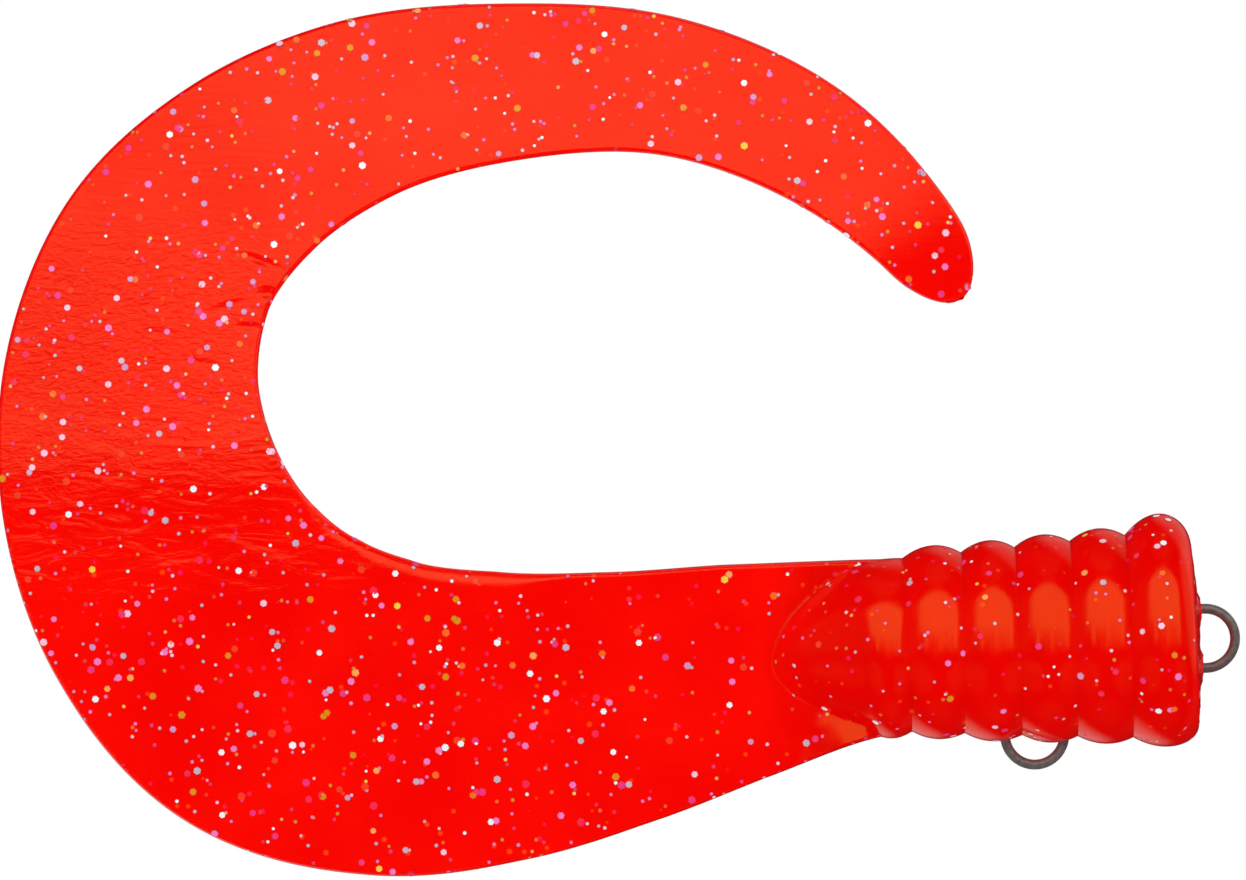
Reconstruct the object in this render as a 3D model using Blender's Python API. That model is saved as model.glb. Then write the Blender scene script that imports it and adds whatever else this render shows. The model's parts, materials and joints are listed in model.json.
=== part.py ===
"""Curl-tail soft lure: a ribbed soft body, the wire harness cast into it, and a broad curled tail.

Metres, +Z up, +X towards the nose, +Y to the lure's left, posed level as it swims. The origin is the
centre of the tow eye, the wire loop at the nose that the line is clipped to.

The soft part is one moulding: a section swept along one spine, from the flat nose, through the ribs and
the bullet-shaped end of the body, to the tip of the flat tail. The tail bends along its whole length, so
it is made here as six blades that meet at flex lines. Each line is a hinge that lies across the tail.
"""

import math

import bmesh
import bpy
from mathutils import Vector
from mathutils.geometry import interpolate_bezier

MM = 0.001

# The spine, from the nose face to the tail's tip, with the tail's size at each point, in mm:
# x, z, width, thickness, and sway to the left (+Y).
SPINE = (
    (-1.3, 0.5, 20.0, 4.2, 0.0),
    (-22.0, -0.4, 20.0, 4.2, 0.0),
    (-41.5, -1.35, 21.7, 4.0, 0.0),
    (-55.5, -4.0, 26.2, 3.6, 0.3),
    (-70.0, -7.2, 30.8, 3.3, 0.8),
    (-84.0, -9.4, 35.0, 3.2, 1.2),
    (-98.3, -9.5, 38.3, 3.1, 1.3),
    (-112.0, -5.1, 39.8, 3.0, 1.2),
    (-122.0, 5.0, 37.4, 2.9, 0.9),
    (-127.7, 18.0, 34.0, 2.8, 0.4),
    (-128.8, 32.3, 30.5, 2.8, 0.0),
    (-124.5, 45.9, 27.6, 2.7, -0.2),
    (-114.8, 56.3, 24.8, 2.7, -0.3),
    (-102.2, 63.2, 22.3, 2.6, -0.3),
    (-83.3, 66.9, 19.0, 2.5, 0.0),
    (-64.2, 66.3, 16.7, 2.5, 0.3),
    (-46.5, 59.0, 14.5, 2.4, 0.7),
    (-35.6, 49.5, 11.4, 2.4, 1.7),
    (-29.0, 40.7, 8.9, 2.3, 3.0),
)
# The tail is tilted about this height from the first to the second distance along the spine, so that its
# lower edge is further left. Above LEAN_START it leans back to the left, after a rounded bend. The slopes
# are mm to the left for each mm up.
TILT_SLOPE, TILT_HEIGHT, TILT_FROM, TILT_TO = -0.09, -5.0, 36.0, 54.0
LEAN_SLOPE, LEAN_START, LEAN_BEND = 0.255, 19.5, 4.0
TIP_ROUNDING = 8.0  # length of the tail's rounded tip
EDGE_ROUNDING = 1.1  # width of the rounded rim of the tail

# The ribbed body, along the spine from the nose face.
COLLAR_PEAK = 3.7  # the nose collar is widest here
COLLAR_END = 7.9  # the groove behind the nose collar
RIB_PITCH = 6.65
RIBS = 4  # round ribs of full pitch behind the collar
LAST_RIB = 5.6  # the shorter rib that the tail grows out of
TAIL_START = COLLAR_END + RIBS * RIB_PITCH - 0.8  # just in front of the last rib's groove
GROOVE_TOP = (12.25, 10.5)  # height of the grooves above the spine, at the first and last of them
GROOVE_BOTTOM = (12.05, 10.35)
BULGE_TOP, BULGE_BOTTOM = 1.15, 0.85  # how far a rib stands proud of its grooves
LAST_BULGE_TOP = 0.2  # the last rib's top is level with the tail's edge
COLLAR_TOP, COLLAR_BOTTOM = 14.65, 13.35
FACE_TOP, FACE_BOTTOM, FACE_SIDE = 10.5, 11.0, 10.3  # the flat of the nose, inside its rounded rim
BODY_SIDE = 0.93  # half width over half height
WIDEST = -0.12  # height of the body's widest point, over its top half height
BULLET = 9.4  # length of the body's rounded end, on the flat of the tail
BULLET_HEIGHT, BULLET_SIDE = 8.7, 7.6
FILLET = 1.6  # blends the body into the tail

# The flex lines, along the spine. The tail bends by up to FLEX_RANGE each way at each of them.
FLEX_LINES = (52.5, 88.0, 124.0, 160.0, 196.0, 236.0)
FLEX_RANGE = 16.0
FLEX_GAP = 0.3
FLEX_SLOPE = math.tan(math.radians(FLEX_RANGE / 2 + 1.5))  # of the wedge at each end of a blade
BLADES = (
    "tail_root_blade",
    "lower_bend_blade",
    "outer_bend_blade",
    "upper_bend_blade",
    "upper_blade",
    "tail_tip_blade",
)

# The wire harness: one wire, bent into both eyes, with its two ends side by side in a crimped sleeve.
WIRE_RADIUS = 0.6
EYE_RADIUS = 3.55  # to the middle of the wire
HANGER = (-20.5, -11.6)  # centre of the hook hanger, the belly eye, in x and z
WIRE_END = -34.2
END_SPACING = 1.0  # of each wire end from the sleeve's middle
SLEEVE = (-33.4, -29.2)
SLEEVE_WALL = 0.6
CLEARANCE = 0.3  # between the cast-in metal and the plastic, and inside the sleeve

# Mesh fineness.
SECTION_STEPS = 14  # across the section, on each side
RING_SPACING = 3.2  # along the tail
RINGS_PER_RIB = 6
WIRE_SIDES = 10

RED = (0.80, 0.010, 0.004, 1.0)
STEEL = (0.22, 0.21, 0.20, 1.0)


# ---------------------------------------------------------------- the spine


def spine_table():
    """The rows of SPINE with the distance along it in front."""
    rows, along = [], 0.0
    for i, row in enumerate(SPINE):
        if i:
            last = SPINE[i - 1]
            along += math.hypot(row[0] - last[0], row[1] - last[1])
        rows.append((along, *row))
    return rows


TABLE = spine_table()
LENGTH = TABLE[-1][0]


def slope(i, column):
    """The slope of a column of the table at row i, weighted towards the nearer neighbour."""
    if i in (0, len(TABLE) - 1):
        a, b = (0, 1) if i == 0 else (i - 1, i)
        return (TABLE[b][column] - TABLE[a][column]) / (TABLE[b][0] - TABLE[a][0])
    before, here, after = TABLE[i - 1], TABLE[i], TABLE[i + 1]
    left, right = here[0] - before[0], after[0] - here[0]
    rise_left = (here[column] - before[column]) / left
    rise_right = (after[column] - here[column]) / right
    return (rise_left * right + rise_right * left) / (left + right)


def at(along):
    """x, z, width, thickness and sway at a distance along the spine, as a smooth cubic."""
    i = max(k for k in range(len(TABLE) - 1) if k == 0 or TABLE[k][0] <= along)
    span = TABLE[i + 1][0] - TABLE[i][0]
    t = (along - TABLE[i][0]) / span
    values = []
    for column in range(1, 6):
        a, b = TABLE[i][column], TABLE[i + 1][column]
        ga, gb = slope(i, column) * span, slope(i + 1, column) * span
        values.append(
            a * (2 * t**3 - 3 * t**2 + 1)
            + ga * (t**3 - 2 * t**2 + t)
            + b * (3 * t**2 - 2 * t**3)
            + gb * (t**3 - t**2)
        )
    return values


def point_at(along):
    """The spine's point at a distance along it, before the lean."""
    x, z, _, _, sway = at(along)
    return Vector((x, sway, z))


def frame_at(along):
    """The spine's point, and the directions along it, to the section's top or inner edge, and to its left."""
    step = 0.5
    forward = (point_at(along + step) - point_at(along - step)).normalized()
    inner = Vector((0, 1, 0)).cross(forward).normalized()
    return point_at(along), forward, inner, forward.cross(inner)


def leaned(point, along):
    """A point of the section at that distance along the spine, tilted and leaned, in metres."""
    turn = min(1.0, max(0.0, (along - TILT_FROM) / (TILT_TO - TILT_FROM)))
    turn *= turn * (3 - 2 * turn)
    above = point.z - LEAN_START
    if above > LEAN_BEND:
        lean = above
    else:
        lean = max(0.0, above + LEAN_BEND) ** 2 / (4 * LEAN_BEND)
    aside = LEAN_SLOPE * lean + TILT_SLOPE * turn * (point.z - TILT_HEIGHT)
    return (point + Vector((0, aside, 0))) * MM


# ---------------------------------------------------------------- the section


def groove_height(along, ends):
    """Height of the groove line at a distance along the spine, from its heights at its two ends."""
    share = (along - COLLAR_END) / (RIBS * RIB_PITCH)
    return ends[0] + (ends[1] - ends[0]) * share


def body_at(along):
    """Top, bottom and side half sizes of the round body, or None behind it."""
    ribs_end = COLLAR_END + RIBS * RIB_PITCH
    last_end = ribs_end + LAST_RIB
    if along < COLLAR_PEAK:
        # The rounded rim of the nose face.
        rim = math.sqrt(max(0.0, 1 - ((COLLAR_PEAK - along) / COLLAR_PEAK) ** 2))
        top = FACE_TOP + (COLLAR_TOP - FACE_TOP) * rim
        bottom = FACE_BOTTOM + (COLLAR_BOTTOM - FACE_BOTTOM) * rim
        full_side = BODY_SIDE * (COLLAR_TOP + COLLAR_BOTTOM) / 2
        return top, bottom, FACE_SIDE + (full_side - FACE_SIDE) * rim
    if along < COLLAR_END:
        fall = (along - COLLAR_PEAK) / (COLLAR_END - COLLAR_PEAK)
        top = COLLAR_TOP + (GROOVE_TOP[0] - COLLAR_TOP) * fall**2
        bottom = COLLAR_BOTTOM + (GROOVE_BOTTOM[0] - COLLAR_BOTTOM) * fall**2
    elif along < last_end:
        bulge_top = BULGE_TOP
        if along < ribs_end:
            share = (along - COLLAR_END) / RIB_PITCH % 1.0
        else:
            share = (along - ribs_end) / LAST_RIB
            bulge_top = LAST_BULGE_TOP
        roundness = 1 - (2 * share - 1) ** 2
        top = groove_height(along, GROOVE_TOP) + bulge_top * roundness
        bottom = groove_height(along, GROOVE_BOTTOM) + BULGE_BOTTOM * roundness
    else:
        share = (along - last_end) / BULLET
        if share >= 1:
            return None
        rounding = math.sqrt(1 - share**2)
        return BULLET_HEIGHT * rounding, BULLET_HEIGHT * rounding, BULLET_SIDE * rounding
    return top, bottom, BODY_SIDE * (top + bottom) / 2


def tail_half_width(along):
    """Half the tail's width, closing to its rounded tip."""
    half = at(along)[2] / 2
    into_tip = (along - (LENGTH - TIP_ROUNDING)) / TIP_ROUNDING
    if into_tip > 0:
        half *= math.sqrt(max(0.0, 1 - into_tip**2))
    return half


def section(along):
    """[(height, side)] across the section: the height from the spine and half the thickness there."""
    body = body_at(along)
    half = tail_half_width(along)
    if along < TAIL_START:
        half = 0.0
    thickness = at(along)[3]
    top = max(body[0] if body else 0.0, half)
    bottom = max(body[1] if body else 0.0, half)
    rows = []
    for i in range(SECTION_STEPS + 1):
        height = (top - bottom) / 2 + (top + bottom) / 2 * math.sin(math.pi * (i / SECTION_STEPS - 0.5))
        round_side = body_side(height, body)
        flat_side = tail_side(height, half, thickness)
        on_rim = i in (0, SECTION_STEPS)
        rows.append((height, 0.0 if on_rim else blended(round_side, flat_side)))
    return rows


def body_side(height, body):
    """Half the body's thickness at a height, on the ellipse of its upper or lower half."""
    if not body:
        return 0.0
    top, bottom, side = body
    widest = WIDEST * top
    share = (height - widest) / (top - widest if height > widest else bottom + widest)
    return side * math.sqrt(max(0.0, 1 - share**2))


def tail_side(height, half, thickness):
    """Half the tail's thickness at a height from its middle, rounded off at its rim."""
    from_rim = half - abs(height)
    if from_rim <= 0:
        return 0.0
    into = max(0.0, 1 - from_rim / EDGE_ROUNDING)
    return thickness / 2 * math.sqrt(max(0.0, 1 - into**2))


def blended(a, b):
    """The larger of two, with a fillet where they are nearly equal."""
    if not a or not b:
        return max(a, b)
    close = max(0.0, FILLET - abs(a - b))
    return max(a, b) + close**2 / (4 * FILLET)


# ---------------------------------------------------------------- solids


def swept_solid(name, stations, wedges):
    """The section swept through the stations. A wedge leaves room to flex, and any other end is flat."""
    mesh = bmesh.new()
    slopes = [0.0] * len(stations)
    slopes[0] = FLEX_SLOPE if wedges[0] else 0.0
    slopes[-1] = -FLEX_SLOPE if wedges[1] else 0.0
    rings = [make_ring(mesh, along, slope) for along, slope in zip(stations, slopes)]
    for (left_a, right_a), (left_b, right_b) in zip(rings, rings[1:]):
        strip(mesh, left_a, left_b)
        strip(mesh, right_b, right_a)
    for along, ring, wedge in zip((stations[0], stations[-1]), (rings[0], rings[-1]), wedges):
        if wedge:
            close_with_wedge(mesh, ring, along)
        else:
            mesh.faces.new(ring[0] + ring[1][-2:0:-1])
    bmesh.ops.recalc_face_normals(mesh, faces=mesh.faces)
    return finished(name, mesh)


def make_ring(mesh, along, slope):
    """The left and right rows of vertices of one section. They share the vertices on its two rims."""
    centre, forward, inner, left = frame_at(along)
    left_row, right_row = [], []
    for height, side in section(along):
        middle = centre + inner * height + forward * (slope * side)
        left_row.append(mesh.verts.new(leaned(middle + left * side, along)))
        right_row.append(mesh.verts.new(leaned(middle - left * side, along)) if side else left_row[-1])
    return left_row, right_row


def close_with_wedge(mesh, ring, along):
    """Two slopes that meet on the hinge line, from one rim to the other."""
    left_row, right_row = ring
    centre, _, inner, _ = frame_at(along)
    heights = [height for height, _ in section(along)]
    ridge = [mesh.verts.new(leaned(centre + inner * height, along)) for height in heights[1:-1]]
    ridge = [left_row[0], *ridge, left_row[-1]]
    strip(mesh, ridge, left_row)
    strip(mesh, right_row, ridge)


def strip(mesh, row_a, row_b):
    """Faces between two rows of vertices."""
    for a0, a1, b1, b0 in zip(row_a, row_a[1:], row_b[1:], row_b):
        corners = []
        for corner in (a0, a1, b1, b0):
            if corner not in corners:
                corners.append(corner)
        mesh.faces.new(corners)


def finished(name, mesh):
    """A smooth-shaded object made from a bmesh."""
    data = bpy.data.meshes.new(name)
    mesh.to_mesh(data)
    mesh.free()
    data.shade_smooth()
    data.set_sharp_from_angle(angle=math.radians(40))
    obj = bpy.data.objects.new(name, data)
    bpy.context.scene.collection.objects.link(obj)
    return obj


def body_stations():
    """Rings of the body: close together on the nose rim, a few to each rib, and round the bullet end."""
    rim = [COLLAR_PEAK * (1 - math.cos(math.radians(a))) for a in (0, 30, 55, 75, 90)]
    grooves = [COLLAR_END + RIB_PITCH * k for k in range(RIBS + 1)]
    grooves.append(grooves[-1] + LAST_RIB)
    stations = rim[:-1] + spread(COLLAR_PEAK, COLLAR_END, 4)
    for start, end in zip(grooves, grooves[1:]):
        stations += spread(start, end, RINGS_PER_RIB)
    bullet = [grooves[-1] + BULLET * math.sin(math.radians(a)) for a in (0.5, 20, 38, 54, 68, 80, 90)]
    return stations + bullet + [FLEX_LINES[0] - FLEX_GAP / 2]


def spread(start, end, count):
    """Evenly spaced values from start, up to but without end."""
    return [start + (end - start) * k / count for k in range(count)]


def blade_stations(start, end):
    """Evenly spaced rings, and closer ones round the tail's tip."""
    tip_start = LENGTH - TIP_ROUNDING
    straight_end = min(end, tip_start)
    count = math.ceil((straight_end - start) / RING_SPACING)
    stations = spread(start, straight_end, count) + [straight_end]
    if end > tip_start:
        stations += [tip_start + TIP_ROUNDING * math.sin(math.radians(a)) for a in (22, 42, 58, 70, 79)]
    return stations


def make_body():
    """The ribbed body, with room inside for the wire and its sleeve."""
    body = swept_solid("ribbed_body", body_stations(), wedges=(False, True))
    for cutter in (
        wire_tube("harness_channel", WIRE_RADIUS + CLEARANCE, cutter=True),
        sleeve_block("sleeve_pocket", cutter=True),
    ):
        cut = body.modifiers.new(cutter.name, "BOOLEAN")
        cut.operation = "DIFFERENCE"
        cut.object = cutter
    return body


def make_blades():
    """The tail, from flex line to flex line."""
    ends = [*FLEX_LINES, LENGTH]
    blades = []
    for name, start, end in zip(BLADES, ends, ends[1:]):
        is_tip = end == LENGTH
        stations = blade_stations(start + FLEX_GAP / 2, end if is_tip else end - FLEX_GAP / 2)
        blades.append(swept_solid(name, stations, wedges=(True, not is_tip)))
    return blades


# ---------------------------------------------------------------- the harness


def arc(centre, start, end, count=14):
    """Points on an eye, from one angle to another, in degrees."""
    return [
        Vector((
            centre[0] + EYE_RADIUS * math.cos(math.radians(start + (end - start) * k / count)),
            0,
            centre[1] + EYE_RADIUS * math.sin(math.radians(start + (end - start) * k / count)),
        ))
        for k in range(count + 1)
    ]


def bend(start, start_handle, end_handle, end, count=10):
    """Points along a Bezier bend of the wire, without its two ends."""
    knots = [Vector((x, 0, z)) for x, z in (start, start_handle, end_handle, end)]
    return interpolate_bezier(*knots, count + 2)[1:-1]


def wire_path():
    """The wire's middle line, from the upper end in the sleeve, round both eyes, to the lower end."""
    hanger_x, hanger_z = HANGER
    sleeve_front = SLEEVE[1] + 1.2
    upper_end = (WIRE_END, END_SPACING)
    lower_end = (WIRE_END, -END_SPACING)
    path = [Vector((upper_end[0], 0, upper_end[1])), Vector((sleeve_front, 0, END_SPACING))]
    path += bend((sleeve_front, END_SPACING), (-18, END_SPACING), (-12, EYE_RADIUS), (-2, EYE_RADIUS))
    path += arc((0, 0), 90, -90)
    path += bend((-1, -EYE_RADIUS), (-12, -EYE_RADIUS), (hanger_x + EYE_RADIUS, -4), (hanger_x + EYE_RADIUS, -10))
    path += arc((hanger_x, hanger_z), 0, -180)
    rear_leg = hanger_x - EYE_RADIUS
    path += bend((rear_leg, -10), (rear_leg, -3), (rear_leg - 1, -END_SPACING), (sleeve_front, -END_SPACING))
    return path + [Vector((sleeve_front, 0, -END_SPACING)), Vector((lower_end[0], 0, lower_end[1]))]


def wire_tube(name, radius, cutter=False):
    """A round tube along the wire's path."""
    curve = bpy.data.curves.new(name, "CURVE")
    curve.dimensions = "3D"
    curve.bevel_depth = radius * MM
    curve.bevel_resolution = WIRE_SIDES // 2 - 2
    curve.use_fill_caps = True
    path = wire_path()
    spline = curve.splines.new("POLY")
    spline.points.add(len(path) - 1)
    for knot, point in zip(spline.points, path):
        knot.co = (*(point * MM), 1)
    obj = bpy.data.objects.new(name, curve)
    bpy.context.scene.collection.objects.link(obj)
    return as_cutter(obj) if cutter else obj


def sleeve_block(name, cutter=False):
    """The sleeve: an oval tube round both wire ends. As a cutter, the pocket that it sits in."""
    extra = CLEARANCE if cutter else 0.0
    inner_radius = WIRE_RADIUS + CLEARANCE
    outer_radius = inner_radius + SLEEVE_WALL + extra
    curve = bpy.data.curves.new(name, "CURVE")
    curve.dimensions = "2D"
    curve.fill_mode = "BOTH"
    curve.extrude = ((SLEEVE[1] - SLEEVE[0]) / 2 + extra) * MM
    for radius in (outer_radius,) if cutter else (outer_radius, inner_radius):
        add_oval(curve, radius)
    obj = bpy.data.objects.new(name, curve)
    bpy.context.scene.collection.objects.link(obj)
    obj.location.x = (SLEEVE[0] + SLEEVE[1]) / 2 * MM
    obj.rotation_euler = (0, math.radians(90), 0)
    return as_cutter(obj) if cutter else obj


def add_oval(curve, radius, count=8):
    """Two half rounds joined by straights, the wire ends' spacing apart."""
    spline = curve.splines.new("POLY")
    spline.points.add(2 * count + 1)
    for k in range(2 * count + 2):
        side = 1 if k <= count else -1
        angle = math.pi * (k - (side < 0)) / count
        knot = (radius * math.cos(angle - math.pi / 2) + side * END_SPACING, radius * math.sin(angle - math.pi / 2))
        spline.points[k].co = (knot[0] * MM, knot[1] * MM, 0, 1)
    spline.use_cyclic_u = True


def as_cutter(curve_object):
    """A mesh of the curve for a Boolean, left out of renders."""
    bpy.context.view_layer.update()
    graph = bpy.context.evaluated_depsgraph_get()
    data = bpy.data.meshes.new_from_object(curve_object.evaluated_get(graph))
    name = curve_object.name
    matrix = curve_object.matrix_world.copy()
    bpy.data.objects.remove(curve_object)
    cutter = bpy.data.objects.new(name, data)
    cutter.matrix_world = matrix
    bpy.context.scene.collection.objects.link(cutter)
    mesh = bmesh.new()
    mesh.from_mesh(data)
    bmesh.ops.remove_doubles(mesh, verts=mesh.verts, dist=1e-7)
    bmesh.ops.recalc_face_normals(mesh, faces=mesh.faces)
    mesh.to_mesh(data)
    mesh.free()
    cutter.hide_render = True
    cutter.display_type = "WIRE"
    return cutter


# ---------------------------------------------------------------- materials and assembly


def material(name, colour, roughness, metallic):
    made = bpy.data.materials.new(name)
    made.use_nodes = True
    shader = made.node_tree.nodes["Principled BSDF"]
    shader.inputs["Base Color"].default_value = colour
    shader.inputs["Roughness"].default_value = roughness
    shader.inputs["Metallic"].default_value = metallic
    return made


def clear_scene():
    for obj in list(bpy.data.objects):
        bpy.data.objects.remove(obj)


def main():
    clear_scene()
    soft_plastic = material("soft_plastic", RED, roughness=0.3, metallic=0.0)
    wire_steel = material("wire_steel", STEEL, roughness=0.35, metallic=1.0)
    for obj in [make_body(), *make_blades()]:
        obj.data.materials.append(soft_plastic)
    for obj in (wire_tube("harness_wire", WIRE_RADIUS), sleeve_block("crimp_sleeve")):
        obj.data.materials.append(wire_steel)


main()
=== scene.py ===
"""The looks of the curl-tail soft lure: fine soft skin, glitter flakes, harness wire, light and camera.

Lengths are in mm until a mesh is made. The soft skin is swept along the CAD model's spine with finer rings,
and stands for the plain CAD solids. It differs from them a little: its rear end is more pointed, the last
rib's sides bulge, the tail's lower edge is thicker at the body, its rims are sharper, its sides wave gently
and its tip is turned to the left. The skin is cut into one piece for each flex line, halfway between the
lines.
"""

import json
import math

import bpy
import numpy as np
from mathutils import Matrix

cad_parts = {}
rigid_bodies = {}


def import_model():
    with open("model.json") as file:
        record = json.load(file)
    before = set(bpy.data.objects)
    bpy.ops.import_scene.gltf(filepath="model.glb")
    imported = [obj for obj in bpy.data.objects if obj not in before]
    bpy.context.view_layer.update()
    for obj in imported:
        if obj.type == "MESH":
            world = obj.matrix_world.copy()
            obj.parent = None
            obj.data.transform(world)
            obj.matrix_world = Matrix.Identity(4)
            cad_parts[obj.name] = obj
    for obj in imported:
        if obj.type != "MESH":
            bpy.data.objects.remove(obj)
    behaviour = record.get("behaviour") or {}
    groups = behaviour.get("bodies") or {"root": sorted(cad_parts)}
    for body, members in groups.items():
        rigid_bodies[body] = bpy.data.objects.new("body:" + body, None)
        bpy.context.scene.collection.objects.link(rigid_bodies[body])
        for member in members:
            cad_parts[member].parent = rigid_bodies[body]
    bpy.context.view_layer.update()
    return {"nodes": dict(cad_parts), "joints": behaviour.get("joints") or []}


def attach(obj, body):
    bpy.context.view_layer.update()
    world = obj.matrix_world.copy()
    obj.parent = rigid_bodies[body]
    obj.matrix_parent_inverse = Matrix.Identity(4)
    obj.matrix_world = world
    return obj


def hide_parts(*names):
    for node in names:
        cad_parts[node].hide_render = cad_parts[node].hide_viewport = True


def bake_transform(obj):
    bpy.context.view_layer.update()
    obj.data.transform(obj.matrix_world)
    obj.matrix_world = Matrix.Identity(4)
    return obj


MM = 0.001

# ---------------------------------------------------------------- the soft body's shape

# The spine, from the nose face to the tail's tip: x, z, width, thickness, and sway to the left (+Y).
SPINE = np.array([
    (-1.3, 0.5, 20.0, 4.2, 0.0),
    (-22.0, -0.4, 20.0, 4.2, 0.0),
    (-41.5, -1.35, 21.7, 4.0, 0.0),
    (-55.5, -4.0, 26.2, 3.6, 0.3),
    (-70.0, -7.2, 30.8, 3.3, 0.8),
    (-84.0, -9.4, 35.0, 3.2, 1.2),
    (-98.3, -9.5, 38.3, 3.1, 1.3),
    (-112.0, -5.1, 39.8, 3.0, 1.2),
    (-122.0, 5.0, 37.4, 2.9, 0.9),
    (-127.7, 18.0, 34.0, 2.8, 0.4),
    (-128.8, 32.3, 30.5, 2.8, 0.0),
    (-124.5, 45.9, 27.6, 2.7, -0.2),
    (-114.8, 56.3, 24.8, 2.7, -0.3),
    (-102.2, 63.2, 22.3, 2.6, -0.3),
    (-83.3, 66.9, 19.0, 2.5, 0.0),
    (-64.2, 66.3, 16.7, 2.5, 0.3),
    (-46.5, 59.0, 14.5, 2.4, 0.7),
    (-35.6, 49.5, 11.4, 2.4, 1.7),
    (-29.0, 40.7, 8.9, 2.3, 3.0),
])
# The tail is tilted about this height from the first to the second distance along the spine. Above LEAN_START
# it leans back to the left, after a rounded bend. The slopes are mm to the left for each mm up.
TILT_SLOPE, TILT_HEIGHT, TILT_FROM, TILT_TO = -0.09, -5.0, 36.0, 54.0
LEAN_SLOPE, LEAN_START, LEAN_BEND = 0.255, 19.5, 4.0
TIP_ROUNDING = 8.0  # length of the tail's rounded tip
EDGE_ROUNDING = 0.5  # width of the tail's rounded rim
INNER_ROUNDING = 2.0  # the same on the inner edge, from the lower blade round to the outer bend
INNER_START, INNER_FULL, INNER_FADE, INNER_END = 72.0, 84.0, 120.0, 132.0

# The tail's gentle waves, and the turn of its tip, in mm to the left.
SLOW_WAVE, QUICK_WAVE = 0.16, 0.035
WAVE_START, WAVE_GROWTH, WAVE_FADE = 52.0, 20.0, 10.0
TIP_TURN, TIP_TURN_LENGTH = 1.5, 17.0

COLLAR_PEAK = 3.7  # the nose collar is widest here
COLLAR_END = 7.9  # the groove behind the nose collar
RIB_PITCH = 6.65
RIBS = 4  # round ribs of full pitch behind the collar
LAST_RIB = 5.6  # the shorter rib that the tail grows out of
RIBS_END = COLLAR_END + RIBS * RIB_PITCH
BULLET_START = RIBS_END + LAST_RIB
TAIL_START = RIBS_END - 0.8  # just in front of the last rib's groove
GROOVE_TOP = (12.25, 10.5)  # height of the grooves above the spine, at the first and last of them
GROOVE_BOTTOM = (12.05, 10.35)
BULGE_TOP, BULGE_BOTTOM = 1.15, 0.85  # how far a rib stands proud of its grooves
LAST_BULGE_TOP = 0.2  # the last rib's top is nearly level with the tail's edge
COLLAR_TOP, COLLAR_BOTTOM = 14.65, 13.35
FACE_TOP, FACE_BOTTOM, FACE_SIDE = 10.5, 11.0, 10.3  # the flat of the nose, inside its rounded rim
BODY_SIDE = 0.93  # half width over half height
WIDEST = -0.12  # height of the body's widest point, over its top half height
BULLET = 11.3  # length of the body's pointed rear end, on the flat of the tail
BULLET_POINT = 0.57  # the power by which it narrows to its point
FILLET = 0.35  # blends the body into the tail

# The nose face's dome, and its wrinkles and the puckers round the wire's two holes.
FACE_DOME, FACE_WRINKLE = 0.55, 0.10
PUCKER_RADIUS, PUCKER_RISE, PUCKER_DIP = 1.2, 0.45, 0.35

# The tail's lower edge is thicker where it leaves the body, from this height down and by this slope.
KEEL_TOP, KEEL_SLOPE, KEEL_BEND = -5.6, 0.36, 1.2
KEEL_START, KEEL_FULL, KEEL_FADE, KEEL_END = 37.5, 41.0, 42.5, 50.5

# Halfway between the flex lines, which are at 52.5, 88, 124, 160, 196 and 236 along the spine.
CUTS = (70.25, 106.0, 142.0, 178.0, 216.0)
LONGEST_BEND = 9.0  # the most of the tail that bends on each side of a flex line
NEAR_CUT = 24.0  # a cut nearer than this to a flex line limits how much bends there
BEND_MARGIN = 0.95  # the most of the way to such a cut that bends
PIECES = (
    ("soft_ribbed_body", ("ribbed_body",)),
    ("soft_tail_root", ("tail_root_blade",)),
    ("soft_lower_bend", ("lower_bend_blade",)),
    ("soft_outer_bend", ("outer_bend_blade",)),
    ("soft_upper_bend", ("upper_bend_blade",)),
    ("soft_tail_tip", ("upper_blade", "tail_tip_blade")),
)

# Fineness of the skin.
STEPS = 84  # round each side of a ring
BODY_RING, TAIL_RING = 0.28, 0.55  # spacing of the rings
FACE_RINGS = 14

KNOTS = np.concatenate([[0.0], np.cumsum(np.hypot(*np.diff(SPINE[:, :2], axis=0).T))])
LENGTH = KNOTS[-1]


def knot_slopes():
    """The slope of each column of SPINE at each row, weighted towards the nearer neighbour."""
    gaps = np.diff(KNOTS)[:, None]
    rises = np.diff(SPINE, axis=0) / gaps
    inner = (rises[:-1] * gaps[1:] + rises[1:] * gaps[:-1]) / (gaps[:-1] + gaps[1:])
    return np.vstack([rises[:1], inner, rises[-1:]])


SLOPES = knot_slopes()


def spine_at(along):
    """x, z, width, thickness and sway at a distance along the spine."""
    i = int(np.clip(np.searchsorted(KNOTS, along, side="right") - 1, 0, len(KNOTS) - 2))
    span = KNOTS[i + 1] - KNOTS[i]
    t = (along - KNOTS[i]) / span
    return (
        SPINE[i] * (2 * t**3 - 3 * t**2 + 1)
        + SLOPES[i] * span * (t**3 - 2 * t**2 + t)
        + SPINE[i + 1] * (3 * t**2 - 2 * t**3)
        + SLOPES[i + 1] * span * (t**3 - t**2)
    )


def point_at(along):
    x, z, _, _, sway = spine_at(along)
    return np.array([x, sway, z])


def frame_at(along):
    """The spine's point, and the directions along it, to the section's top or inner edge, and to its left."""
    forward = point_at(along + 0.5) - point_at(along - 0.5)
    forward /= np.linalg.norm(forward)
    inner = np.cross((0, 1, 0), forward)
    inner /= np.linalg.norm(inner)
    return point_at(along), forward, inner, np.cross(forward, inner)


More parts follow.
